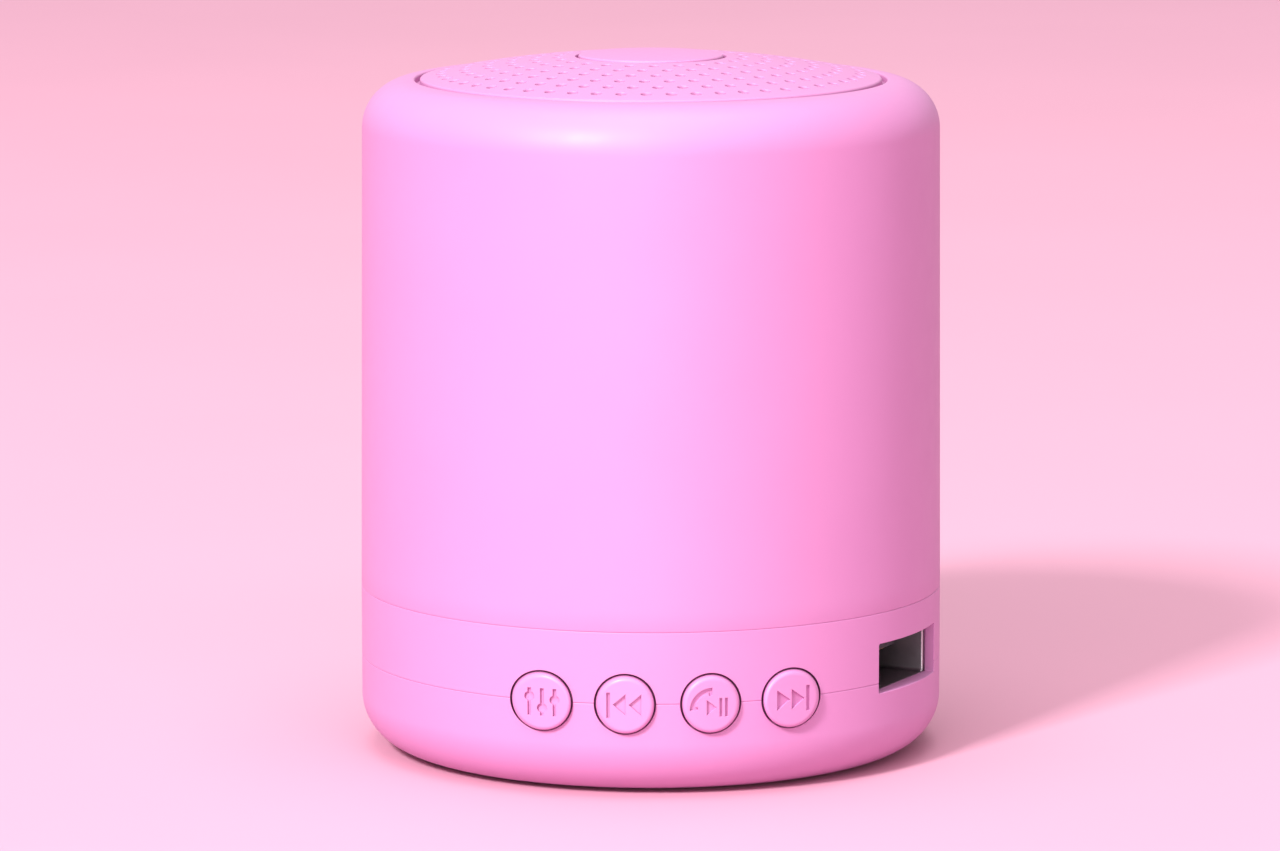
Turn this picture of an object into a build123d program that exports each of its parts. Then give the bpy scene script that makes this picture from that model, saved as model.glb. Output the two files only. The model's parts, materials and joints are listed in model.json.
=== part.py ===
from math import cos, radians, sin, sqrt, tan
import os

from build123d import *

# Mini loudspeaker: an upright pink cylinder in three shells, a domed perforated grille on top,
# four push buttons across the lower seam, and a USB-A socket let into the wall beside them.
# Millimetres. The origin is the centre of the foot's underside, +Z is up, and the buttons face -Y.

# ---- driving dimensions ----
BODY_R = 28.0                # outer radius at the lower seam
WALL = 1.8                   # shell wall
BASE_Z = 0.2                 # underside of the bottom shell
FOOT_FILLET = 5.0            # rounding of the bottom edge
SEAM_LOW_Z = 9.05            # bottom shell to middle band, through the button centres
SEAM_HIGH_Z = 15.8           # middle band to main shell
TOP_R = 27.69                # outer radius at the start of the shoulder, with draft
SHOULDER_R = 4.56
SHOULDER_Z = 60.0            # height of the shoulder's arc centre
RIM_SLOPE = 4.5              # degrees, fall of the rim from the grille to the shoulder
SEAM_BEVEL = 0.11

GRILLE_R = 22.12
GRILLE_GAP = 0.48
GRILLE_THICK = 1.6
DOME_TOP_Z = 67.02           # where the dome's sphere meets the axis
DOME_R = 107.5
HOLE_PITCH = 2.23            # ring spacing of the grille holes
HOLE_R = 0.51
HOLE_RINGS = range(4, 10)
HOLE_TURN = -1.2             # degrees, turn of the whole hole pattern
GRILLE_SKIRT = 2.6           # height of the grille's plain edge
CAP_R = 6.95
CAP_GAP = 0.27
CAP_PROUD = 0.12
CAP_SEAT = 0.6               # depth of the cap's seat in the grille
CAP_SPIGOT_R = 1.95

KEY_STEP = 16.4              # degrees round the wall between buttons
KEY_Z = SEAM_LOW_Z
KEY_HOLE_R = 2.87
KEY_R = 2.68
KEY_PROUD = 0.72
KEY_ROUND = 0.42
ICON_DEPTH = 0.35
FLANGE_R = 3.35
STEM_R = 1.2
KEY_BACK = 3.2               # stem end, behind the inner wall
PLUNGER_R = 0.9
SWITCH_SIZE = (4.5, 3.5, 3.5)

BOARD_Z = 6.0
BOARD_TOP = 7.6
BOARD_R = 24.7
BOSS_RADIUS = 19.5
BOSS_ANGLES = (15.0, 150.0, -142.0)
BOSS_R = 2.9
BOSS_JOIN_Z = 16.0
BOSS_TOP_Z = 27.0
LIP_R = 24.9                 # inner radius of the lips that line the shells up
SCREW_SEAT_Z = 7.0
STANDOFFS = ((-18.0, 0.0), (-3.0, -12.0), (14.0, 8.0))

USB_ANGLE = -30.0
USB_CUT = (12.6, 4.75)
USB_CUT_Z = 10.475
USB_OUT = (13.1, 5.7)
USB_WALL = 0.3
USB_FRONT = 26.18
USB_LENGTH = 14.0
CHARGE_ANGLE = 55.0
CHARGE_CUT = (8.2, 3.2)
CHARGE_SIZE = (7.5, 2.9)
CHARGE_FRONT = 25.9
CHARGE_LENGTH = 6.0
CARD_SIZE = (14.0, 15.0, 1.9)
CARD_FRONT = 25.0
CARD_CUT = (12.0, 7.9, 9.5)    # width, lower and upper edge of the slot
POWER_ANGLE = 125.0
POWER_TRAVEL = 2.0
POWER_CUT = (4.8, 8.3, 10.3)
LED_ANGLE = 33.0
LED_HOLE_R = 0.95
MIC_ANGLE = 172.0
MIC_HOLE_R = 0.5

FRAME_Z = 17.2               # underside of the inner frame
FRAME_THICK = 1.6
LEDGE_Z = 59.2               # underside of the driver ledge
DRIVER_Z = 57.0              # underside of the driver's flange
DRIVER_SCREW_R = 24.2
DRIVER_SCREW_HOLE_R = 0.75
COIL_R = 6.7
POLE_R = 6.3
GAP_R = 7.35

INNER_R = BODY_R - WALL
FOOT_R = 22.4
FOOT_TOP = 1.1
FLOOR_TOP = 2.6


# ---- helpers ----
def turned(points):
    """A solid of revolution about Z from its (radius, height) outline."""
    outline = Polyline([(r, 0, z) for r, z in points], close=True)
    return revolve(make_face(outline), Axis.Z, 360)


def disc(radius, low, high, x=0.0, y=0.0):
    return Pos(x, y, (low + high) / 2) * Cylinder(radius, high - low)


def tube(outer, inner, low, high, x=0.0, y=0.0):
    return disc(outer, low, high, x, y) - disc(inner, low, high, x, y)


def polar(radius, angle):
    return radius * cos(radians(angle)), radius * sin(radians(angle))


def radial_box(angle, near, far, width, low, high, shift=0.0):
    """A box that runs outwards from the axis, between two distances, at an angle round Z."""
    box = Pos((near + far) / 2, shift, (low + high) / 2) * Box(far - near, width, high - low)
    return Rot(0, 0, angle) * box


def radial_rod(angle, near, far, radius, z):
    rod = Pos((near + far) / 2, 0, z) * Rot(0, 90, 0) * Cylinder(radius, far - near)
    return Rot(0, 0, angle) * rod


def y_rod(x, z, radius, near, far):
    """A rod along Y between two Y values."""
    return Pos(x, (near + far) / 2, z) * Rot(90, 0, 0) * Cylinder(radius, far - near)


def joined(pieces):
    whole = pieces[0]
    for piece in pieces[1:]:
        whole = whole + piece
    return whole


def separate(pieces):
    return Compound(children=list(pieces))


def without(solid, cutters):
    for cutter in cutters:
        solid = solid - cutter
    return solid


def boss_places():
    return [polar(BOSS_RADIUS, angle) for angle in BOSS_ANGLES]


def driver_screw_places():
    return [polar(DRIVER_SCREW_R, angle) for angle in (45, 135, 225, 315)]


def key_places():
    """Each button's X, at even steps round the front of the wall."""
    names = ("mode", "previous", "play", "next")
    return {name: BODY_R * sin(radians(KEY_STEP * (i - 1.5))) for i, name in enumerate(names)}


def wall_y(x, radius=INNER_R):
    return -sqrt(radius**2 - x**2)


def crown(radius, edge_z, top_z):
    """An arc from a rim to the axis, centred on the axis, so that it is level at the top."""
    rise = top_z - edge_z
    ball = (radius**2 + rise**2) / (2 * rise)
    middle = (radius / 2, 0, top_z - ball + sqrt(ball**2 - radius**2 / 4))
    return ThreePointArc((radius, 0, edge_z), middle, (0, 0, top_z))


def dome_z(radius):
    return DOME_TOP_Z - DOME_R + sqrt(DOME_R**2 - radius**2)


# ---- openings that cross the lower seam ----
def wall_openings():
    cut_low = USB_CUT_Z - USB_CUT[1] / 2
    cut_high = USB_CUT_Z + USB_CUT[1] / 2
    pocket_low = BOARD_TOP - 0.05
    pocket_high = BOARD_TOP + USB_OUT[1] + 0.12
    charge_z = BOARD_TOP + CHARGE_SIZE[1] / 2
    cutters = [radial_box(USB_ANGLE, 20, 32, USB_CUT[0], cut_low, cut_high)]
    cutters.append(radial_box(USB_ANGLE, 18, USB_FRONT, USB_OUT[0] + 0.2, pocket_low, pocket_high))
    charge_low, charge_high = charge_z - CHARGE_CUT[1] / 2, charge_z + CHARGE_CUT[1] / 2
    cutters.append(radial_box(CHARGE_ANGLE, 22, 32, CHARGE_CUT[0], charge_low, charge_high))
    cutters.append(radial_box(90, 22, 32, *CARD_CUT))
    cutters.append(radial_box(POWER_ANGLE, 22, 32, *POWER_CUT))
    cutters.append(radial_rod(LED_ANGLE, 22, 32, LED_HOLE_R, SEAM_LOW_Z))
    cutters.append(radial_rod(MIC_ANGLE, 22, 32, MIC_HOLE_R, SEAM_LOW_Z))
    cutters += [y_rod(x, KEY_Z, KEY_HOLE_R, -32, -18) for x in key_places().values()]
    return cutters


def sector(start, end, radius, low, high):
    """A wedge about Z, for keeping part of a ring."""
    middle = (start + end) / 2
    points = [(0, 0), polar(radius, start), polar(radius * 1.2, middle), polar(radius, end)]
    face = make_face(Polyline([(x, y, low) for x, y in points], close=True))
    return extrude(face, high - low, dir=(0, 0, 1))


# ---- housing ----
def bottom_shell():
    fillet_centre = (BODY_R - FOOT_FILLET, BASE_Z + FOOT_FILLET)
    diagonal = FOOT_FILLET * sqrt(0.5)
    low = (fillet_centre[0], 0, BASE_Z)
    mid = (fillet_centre[0] + diagonal, 0, fillet_centre[1] - diagonal)
    high = (BODY_R, 0, fillet_centre[1])
    bevel = (BODY_R, 0, SEAM_LOW_Z - SEAM_BEVEL)
    top = (BODY_R - SEAM_BEVEL, 0, SEAM_LOW_Z)
    inner = (INNER_R, 0, SEAM_LOW_Z)
    inside_r = FOOT_FILLET - WALL
    arc_high = (INNER_R, 0, fillet_centre[1])
    arc_low = (fillet_centre[0], 0, fillet_centre[1] - inside_r)
    inner_mid = inside_r * sqrt(0.5)
    arc_mid = (fillet_centre[0] + inner_mid, 0, fillet_centre[1] - inner_mid)
    outline = [
        Polyline((0, 0, FLOOR_TOP), (0, 0, FOOT_TOP), (FOOT_R + 0.2, 0, FOOT_TOP)),
        Polyline((FOOT_R + 0.2, 0, FOOT_TOP), (FOOT_R + 0.2, 0, BASE_Z), low),
        ThreePointArc(low, mid, high),
        Polyline(high, bevel, top, inner, arc_high),
        ThreePointArc(arc_high, arc_mid, arc_low),
        Polyline(arc_low, (arc_low[0], 0, FLOOR_TOP), (0, 0, FLOOR_TOP)),
    ]
    shell = revolve(make_face(outline), Axis.Z, 360)
    root = tube(INNER_R + 0.1, LIP_R, 8.0, SEAM_LOW_Z)
    lip = tube(INNER_R - 0.15, LIP_R, SEAM_LOW_Z, 10.2)
    for start, end in ((2, 26), (148, 166), (-173, -130)):
        shell = shell + ((root + lip) & sector(start, end, 40, 7.5, 10.5))
    for x, y in boss_places():
        shell = shell + disc(BOSS_R, FLOOR_TOP - 0.5, BOSS_JOIN_Z, x, y)
    for x, y in STANDOFFS:
        shell = shell + disc(2.2, FLOOR_TOP - 0.5, BOARD_Z, x, y)
    for x, y in boss_places():
        shell = shell - disc(2.1, 0.0, SCREW_SEAT_Z, x, y) - disc(1.15, 0.0, 17.0, x, y)
    for x, y in STANDOFFS:
        shell = shell - disc(0.8, 2.2, 7.0, x, y)
    return without(shell, wall_openings())


def middle_band():
    low, high = SEAM_LOW_Z, SEAM_HIGH_Z
    band = turned([
        (INNER_R, low), (BODY_R - SEAM_BEVEL, low), (BODY_R, low + SEAM_BEVEL),
        (BODY_R, high - SEAM_BEVEL), (BODY_R - SEAM_BEVEL, high), (INNER_R, high),
    ])
    band = band + tube(INNER_R + 0.1, LIP_R, 14.2, high) + tube(INNER_R - 0.15, LIP_R, high, FRAME_Z)
    return without(band, wall_openings())


def main_shell():
    slope = radians(RIM_SLOPE)
    centre_r = TOP_R - SHOULDER_R
    open_r = GRILLE_R + GRILLE_GAP
    side = (TOP_R, 0, SHOULDER_Z)
    mid_angle = radians(45 + RIM_SLOPE / 2)
    mid_r = centre_r + SHOULDER_R * sin(mid_angle)
    mid = (mid_r, 0, SHOULDER_Z + SHOULDER_R * cos(mid_angle))
    crest = (centre_r + SHOULDER_R * sin(slope), 0, SHOULDER_Z + SHOULDER_R * cos(slope))
    rim_round = 0.22
    rim_z = crest[2] + (crest[0] - open_r) * tan(slope)
    rim = (open_r + rim_round, 0, rim_z - rim_round * tan(slope))
    rim_in = (open_r, 0, rim_z - rim_round)
    rim_mid = (open_r + 0.3 * rim_round, 0, rim_z - 0.3 * rim_round)
    roof_in = 3.0
    roof_a = (INNER_R, 0, SHOULDER_Z)
    roof_b = (INNER_R - 0.3 * roof_in, 0, SHOULDER_Z + 0.7 * roof_in)
    roof_c = (INNER_R - roof_in, 0, SHOULDER_Z + roof_in)
    foot = (BODY_R - SEAM_BEVEL, 0, SEAM_HIGH_Z)
    foot_out = (BODY_R, 0, SEAM_HIGH_Z + SEAM_BEVEL)
    inner_foot = (INNER_R, 0, SEAM_HIGH_Z)
    outline = [
        Polyline(inner_foot, foot, foot_out, side),
        ThreePointArc(side, mid, crest),
        Line(crest, rim),
        ThreePointArc(rim, rim_mid, rim_in),
        Polyline(rim_in, (open_r, 0, roof_c[2]), roof_c),
        ThreePointArc(roof_c, roof_b, roof_a),
        Line(roof_a, inner_foot),
    ]
    shell = revolve(make_face(outline), Axis.Z, 360)
    shell = shell + tube(INNER_R + 0.2, 20.4, LEDGE_Z, LEDGE_Z + 1.6)
    seat_z = dome_z(GRILLE_R) - GRILLE_SKIRT
    shell = shell + tube(23.2, 21.2, LEDGE_Z + 1.5, seat_z) + tube(24.0, open_r, seat_z - 0.5, 63.4)
    frame_top = FRAME_Z + FRAME_THICK
    shell = shell + tube(INNER_R + 0.1, LIP_R, frame_top, frame_top + 1.4)
    for angle in BOSS_ANGLES:
        x, y = polar(BOSS_RADIUS, angle)
        web = radial_box(angle, BOSS_RADIUS, INNER_R + 0.4, 1.6, frame_top, BOSS_TOP_Z)
        shell = shell + disc(BOSS_R, BOSS_JOIN_Z, BOSS_TOP_Z, x, y) + web
        shell = shell - disc(1.0, 14.0, 25.0, x, y)
    for x, y in driver_screw_places():
        shell = shell + disc(1.6, LEDGE_Z, LEDGE_Z + 3.2, x, y)
        shell = shell - disc(DRIVER_SCREW_HOLE_R, LEDGE_Z - 1, LEDGE_Z + 2.4, x, y)
    return shell


def dome_solid(radius, thick, skirt):
    """A domed disc with a plain skirt below its edge."""
    bottom = dome_z(radius) - skirt
    ball = Pos(0, 0, DOME_TOP_Z - DOME_R) * Sphere(DOME_R)
    core = Pos(0, 0, DOME_TOP_Z - DOME_R) * Sphere(DOME_R - thick)
    outer = disc(radius, bottom, DOME_TOP_Z + 1) & ball
    hollow = disc(radius - 1.0, bottom - 1, DOME_TOP_Z + 1) & core
    return outer - hollow


def grille_holes():
    holes = []
    for ring in HOLE_RINGS:
        count = 6 * ring
        for index in range(count):
            x, y = polar(ring * HOLE_PITCH, HOLE_TURN + 360.0 * index / count)
            holes.append(disc(HOLE_R, 60, 70, x, y))
    return holes


def top_grille():
    seat = disc(CAP_R + CAP_GAP, dome_z(CAP_R) - CAP_SEAT, 70)
    grille = dome_solid(GRILLE_R, GRILLE_THICK, GRILLE_SKIRT) - seat - disc(CAP_SPIGOT_R + 0.05, 60, 70)
    return grille - grille_holes()


def grille_cap():
    seat_z = dome_z(CAP_R) - CAP_SEAT
    edge, top_z = 0.2, DOME_TOP_Z + CAP_PROUD
    crown_r = CAP_R - edge
    crown_z = dome_z(crown_r) + CAP_PROUD
    spigot_end = 63.2
    outline = [
        Polyline((0, 0, top_z), (0, 0, spigot_end), (CAP_SPIGOT_R, 0, spigot_end), (CAP_SPIGOT_R, 0, seat_z)),
        Polyline((CAP_SPIGOT_R, 0, seat_z), (CAP_R, 0, seat_z), (CAP_R, 0, crown_z - edge)),
        ThreePointArc((CAP_R, 0, crown_z - edge), (CAP_R - 0.3 * edge, 0, crown_z - 0.3 * edge),
                      (crown_r, 0, crown_z)),
        crown(crown_r, crown_z, top_z),
    ]
    return revolve(make_face(outline), Axis.Z, 360)


def foot_pad():
    pad = disc(FOOT_R, 0, FOOT_TOP)
    return pad - tube(19.6, 18.4, -0.1, 0.25)


def weight_plate():
    plate = disc(22.0, FLOOR_TOP, 4.2)
    cutters = [disc(3.2, 0, 9, x, y) for x, y in boss_places()]
    cutters += [disc(2.6, 0, 9, x, y) for x, y in STANDOFFS]
    return without(plate, cutters)


# ---- fasteners ----
def screw(x, y, head_low, head_r, head_high, shank_r, shank_end, upwards=True):
    """A pan-head screw with a cross recess; upwards means that the shank runs up from the head."""
    head = disc(head_r, head_low, head_high, x, y)
    face = head_low if upwards else head_high
    low, high = (face, shank_end) if upwards else (shank_end, face)
    shank = disc(shank_r, low, high, x, y)
    slot = Pos(x, y, face) * Box(head_r * 1.1, 0.35, 0.9)
    cross = Pos(x, y, face) * Box(0.35, head_r * 1.1, 0.9)
    return head + shank - slot - cross


def housing_screws():
    return separate(screw(x, y, 5.8, 1.9, SCREW_SEAT_Z, 1.0, 24.6) for x, y in boss_places())


def board_screws():
    top = BOARD_TOP + 1.1
    return separate(screw(x, y, BOARD_TOP, 1.5, top, 0.8, 2.9, False) for x, y in STANDOFFS)


def driver_screws():
    low, end = DRIVER_Z - 0.9, LEDGE_Z + 2.2
    return separate(screw(x, y, low, 1.1, DRIVER_Z, 0.7, end) for x, y in driver_screw_places())


# ---- buttons ----
def prism(points, x):
    """An outline in X and Z about a button's centre, run along Y through its face."""
    face = make_face(Polyline([(x + px, -31, KEY_Z + pz) for px, pz in points], close=True))
    return extrude(face, 8, dir=(0, 1, 0))


def slab(left, right, low, high):
    return [(left, low), (right, low), (right, high), (left, high)]


def arrow(tip, back, half, z=0.0):
    return [(tip, z), (back, z + half), (back, z - half)]


def round_outline(x, z, radius, count=20):
    return [(x + radius * cos(radians(360 * i / count)), z + radius * sin(radians(360 * i / count)))
            for i in range(count)]


def handset_outline():
    """A telephone handset: a thick quarter arc with a block at each end."""
    centre_x, centre_z, inner, outer = 0.1, -0.5, 1.66, 2.1
    near = [(centre_x + inner * cos(radians(a)), centre_z + inner * sin(radians(a)))
            for a in range(168, 101, -6)]
    far = [(centre_x + outer * cos(radians(a)), centre_z + outer * sin(radians(a)))
           for a in range(90, 181, 6)]
    first = [(centre_x + 1.38 * cos(radians(a)), centre_z + 1.38 * sin(radians(a))) for a in (178, 168)]
    last = [(centre_x + 1.38 * cos(radians(a)), centre_z + 1.38 * sin(radians(a))) for a in (102, 92)]
    return first + near + last + far


def icon(name):
    if name == "mode":
        bars = [slab(x - 0.15, x + 0.15, -1.3, 1.3) for x in (-1.15, 0.0, 1.15)]
        knobs = [round_outline(x, z, 0.44) for x, z in ((-1.15, 0.5), (0.0, -0.55), (1.15, 0.25))]
        return bars + knobs
    if name == "previous":
        return [slab(-1.74, -1.44, -1.2, 1.2), arrow(-1.14, 0.0, 0.98, 0.08), arrow(0.32, 1.46, 0.98, 0.08)]
    if name == "next":
        return [slab(1.42, 1.72, -1.2, 1.2), arrow(-0.16, -1.4, 0.96), arrow(1.24, 0.0, 0.96)]
    bars = [slab(0.78, 1.02, -1.15, 0.6), slab(1.3, 1.54, -1.15, 0.6)]
    return bars + [arrow(0.5, -0.42, 0.72, -0.28), handset_outline()]


def key_cap(name, x):
    """A round cap whose face follows the housing, with a retaining flange and a stem behind it."""
    back = wall_y(x)
    cap = y_rod(x, KEY_Z, KEY_R, -31, back + 1.0) & disc(BODY_R + KEY_PROUD, 0, 20)
    front = cap.edges().sort_by(Axis.Y)
    rim = [edge for edge in front if edge.center().Y < -BODY_R * 0.83]
    cap = fillet(rim, KEY_ROUND)
    cap = cap + (y_rod(x, KEY_Z, FLANGE_R, -31, -15) & tube(INNER_R - 0.1, INNER_R - 1.2, 0, 20))
    cap = cap + y_rod(x, KEY_Z, STEM_R, back + 0.5, back + KEY_BACK)
    core = disc(BODY_R + KEY_PROUD - ICON_DEPTH, 0, 20)
    return without(cap, [prism(points, x) - core for points in icon(name)])


def plunger(x):
    start = wall_y(x) + KEY_BACK
    return y_rod(x, KEY_Z, PLUNGER_R, start, start + 2.2)


def key_switches():
    width, depth, height = SWITCH_SIZE
    bodies = []
    for x in key_places().values():
        front = wall_y(x) + KEY_BACK + 1.0
        body = Pos(x, front + depth / 2, BOARD_TOP + height / 2) * Box(width, depth, height)
        bodies.append(body - y_rod(x, KEY_Z, PLUNGER_R + 0.05, front - 1, front + 2.2))
    return separate(bodies)


# ---- electronics ----
def circuit_board():
    board = disc(BOARD_R, BOARD_Z, BOARD_TOP)
    cutters = [disc(3.15, 0, 9, x, y) for x, y in boss_places()]
    cutters += [disc(0.85, 0, 9, x, y) for x, y in STANDOFFS]
    cutters.append(Pos(0, -26.3, 7) * Box(15.6, 6, 4))
    cutters += [Pos(side * 11.6, -22.6, 7) * Box(7.8, 6, 4) for side in (-1, 1)]
    return without(board, cutters)


def usb_socket_shell():
    back = USB_FRONT - USB_LENGTH
    top = BOARD_TOP + USB_OUT[1]
    shell = radial_box(USB_ANGLE, back, USB_FRONT, USB_OUT[0], BOARD_TOP, top)
    inside = USB_OUT[0] - 2 * USB_WALL
    hollow = radial_box(USB_ANGLE, back + USB_WALL, 30, inside, BOARD_TOP + USB_WALL, top - USB_WALL)
    windows = [radial_box(USB_ANGLE, 18, 21, 1.6, top - 1, top + 1, side * 3.2) for side in (-1, 1)]
    return without(shell, [hollow] + windows)


def usb_socket_tongue():
    back = USB_FRONT - USB_LENGTH + USB_WALL
    inside = USB_OUT[0] - 2 * USB_WALL
    low = BOARD_TOP + USB_WALL
    block = radial_box(USB_ANGLE, back, back + 2.6, inside, low, low + USB_OUT[1] - 2 * USB_WALL)
    return block + radial_box(USB_ANGLE, back + 2.5, 23.4, 11.1, 10.6, 12.44)


def usb_contacts():
    start = USB_FRONT - USB_LENGTH + USB_WALL + 2.6
    return separate(radial_box(USB_ANGLE, start, 23.0, 1.1, 10.4, 10.6, shift)
                    for shift in (-3.5, -1.0, 1.0, 3.5))


def charge_socket_shell():
    width, height = CHARGE_SIZE
    back = CHARGE_FRONT - CHARGE_LENGTH
    top = BOARD_TOP + height
    shell = radial_box(CHARGE_ANGLE, back, CHARGE_FRONT, width, BOARD_TOP, top)
    hollow = radial_box(CHARGE_ANGLE, back + 0.3, 30, width - 0.6, BOARD_TOP + 0.3, top - 0.3)
    return shell - hollow


def charge_socket_tongue():
    back = CHARGE_FRONT - CHARGE_LENGTH + 0.3
    block = radial_box(CHARGE_ANGLE, back, back + 1.5, 6.9, BOARD_TOP + 0.3, BOARD_TOP + 2.6)
    return block + radial_box(CHARGE_ANGLE, back + 1.4, CHARGE_FRONT - 1.0, 4.6, 9.2, 9.8)


def card_socket():
    width, depth, height = CARD_SIZE
    case = radial_box(90, CARD_FRONT - depth, CARD_FRONT, width, BOARD_TOP, BOARD_TOP + height)
    return case - radial_box(90, CARD_FRONT - depth + 1.2, 30, 11.3, 8.1, 9.2)


def power_switch_case():
    case = radial_box(POWER_ANGLE, 20.4, 24.0, 8.6, BOARD_TOP, 11.1)
    return case - radial_box(POWER_ANGLE, 21.5, 25, 4.7, 8.35, 10.25)


def power_switch_knob():
    rest = -POWER_TRAVEL / 2
    knob = radial_box(POWER_ANGLE, 21.8, 27.3, 1.7, 8.55, 10.05, rest)
    grooves = [radial_box(POWER_ANGLE, 27.05, 28, 0.25, 8, 11, rest + side) for side in (-0.4, 0.4)]
    return without(knob, grooves)


def status_led():
    return radial_box(LED_ANGLE, 21.2, 22.8, 3.0, BOARD_TOP, 9.9)


def light_pipe():
    return radial_rod(LED_ANGLE, 22.95, 27.9, 0.92, KEY_Z) + radial_rod(LED_ANGLE, 23.1, 24.1, 1.4, KEY_Z)


def microphone():
    x, y = polar(21.5, MIC_ANGLE)
    return disc(2.0, BOARD_TOP, 9.8, x, y) - disc(0.4, 9.4, 10, x, y)


def control_chips():
    places = ((-8.5, 1.5, 7, 7, 1.0), (2.5, 3.5, 5, 4, 1.5), (-9.0, -7.5, 5, 4, 1.5))
    return separate(Pos(x, y, BOARD_TOP + high / 2) * Box(wide, deep, high)
                    for x, y, wide, deep, high in places)


def capacitors():
    cans = []
    for x, y in ((1.0, -6.0), (-2.6, 7.0), (8.5, 6.5)):
        base = Pos(x, y, BOARD_TOP + 0.4) * Box(4.2, 4.2, 0.8)
        cans.append(base + disc(2.0, BOARD_TOP + 0.7, BOARD_TOP + 5.4, x, y))
    return separate(cans)


# ---- middle of the housing ----
def inner_frame():
    top = FRAME_Z + FRAME_THICK
    plate = disc(INNER_R - 0.3, FRAME_Z, top)
    ribs = [Pos(1.0, side * 11.9, top + 1.3) * Box(18, 1.2, 3.0) for side in (-1, 1)]
    ribs.append(Pos(14.4, 0, top + 1.3) * Box(1.2, 16, 3.0))
    ribs.append(Pos(-12.4, 5, top + 1.3) * Box(1.2, 8, 3.0))
    cutters = [disc(3.1, 0, 30, x, y) for x, y in boss_places()]
    cutters.append(Pos(-22.8, -3.9, FRAME_Z) * Box(4.0, 7.8, 4))
    return without(joined([plate] + ribs), cutters)


def battery_foam():
    return Pos(1.0, 0, FRAME_Z + FRAME_THICK + 0.25) * Box(21, 18, 0.5)


def battery_cell():
    low = FRAME_Z + FRAME_THICK + 0.5
    cell = Pos(1.0, 0, low + 3.0) * Box(25, 22, 6)
    return fillet(cell.edges().filter_by(Axis.Y), 1.6)


def wire(points, radius, bend):
    path = FilletPolyline(*points, radius=bend)
    section = Plane(origin=path @ 0, z_dir=path % 0) * Circle(radius)
    return sweep(section, path=path)


def speaker_wires():
    runs = []
    for y in (-1.0, -2.4):
        points = [(-23.5, y, BOARD_TOP), (-23.5, y, 54.0), (-22.5, y, 55.0)]
        runs.append(wire(points, 0.45, 1.4))
    return separate(runs)


def battery_wires():
    runs = []
    for y in (-4.7, -6.1):
        points = [(-11.5, y, 22.3), (-22.0, y, 22.3), (-22.0, y, BOARD_TOP)]
        runs.append(wire(points, 0.45, 4.7))
    return separate(runs)


# ---- driver ----
def driver_frame():
    low = DRIVER_Z
    basket = turned([
        (25.4, low), (25.4, low + 1), (19.9, low + 1), (14.0, 49.2), (12.2, 49.2), (12.2, 47.0),
        (9.0, 47.0), (9.0, 46.0), (13.0, 46.0), (13.0, 48.4), (14.6, 48.4), (20.6, low),
    ])
    windows = [radial_box(angle, 13.4, 19.6, 9.0, 50.3, 55.4) for angle in (0, 60, 120, 180, 240, 300)]
    holes = [disc(DRIVER_SCREW_HOLE_R, 50, 60, x, y) for x, y in driver_screw_places()]
    return without(basket, windows + holes)


def driver_surround():
    low, high = DRIVER_Z + 1, DRIVER_Z + 1.4
    outline = [
        Polyline((16.55, 0, low), (15.4, 0, low), (15.4, 0, high), (16.2, 0, high)),
        ThreePointArc((16.2, 0, high), (18.0, 0, high + 1.7), (19.8, 0, high)),
        Polyline((19.8, 0, high), (23.2, 0, high), (23.2, 0, low), (19.45, 0, low)),
        ThreePointArc((19.45, 0, low), (18.0, 0, low + 1.7), (16.55, 0, low)),
    ]
    return revolve(make_face(outline), Axis.Z, 360)


def driver_gasket():
    return tube(23.2, 20.8, DRIVER_Z + 1.4, LEDGE_Z)


def driver_cone():
    rim = DRIVER_Z + 1
    return turned([
        (COIL_R + 0.05, 49.95), (15.4, rim - 0.45), (16.3, rim - 0.45), (16.3, rim),
        (15.2, rim), (COIL_R + 0.05, 50.5),
    ])


def driver_dust_cap():
    outline = [
        Line((0, 0, 53.5), (0, 0, 53.9)),
        crown(8.3, 51.98, 53.9),
        Line((8.3, 0, 51.98), (8.0, 0, 51.75)),
        crown(8.0, 51.75, 53.5),
    ]
    return revolve(make_face(outline), Axis.Z, 360)


def voice_coil():
    return tube(COIL_R + 0.05, COIL_R - 0.1, 42.4, 50.6) + tube(7.1, COIL_R, 43.2, 46.8)


def driver_spider():
    rise, thick, first, step = 0.35, 0.25, 7.3, 0.8
    upper = [(COIL_R + 0.05, 49.2 + thick)]
    upper += [(first + step * i, 49.2 + thick + (rise if i % 2 else 0.0)) for i in range(7)]
    upper += [(13.6, 49.2 + thick)]
    lower = [(r, z - thick) for r, z in reversed(upper)]
    return turned(upper + lower)


def driver_terminals():
    return Pos(-21.5, -1.7, DRIVER_Z - 2.0) * Box(1.3, 5.0, 4.0)


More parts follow.
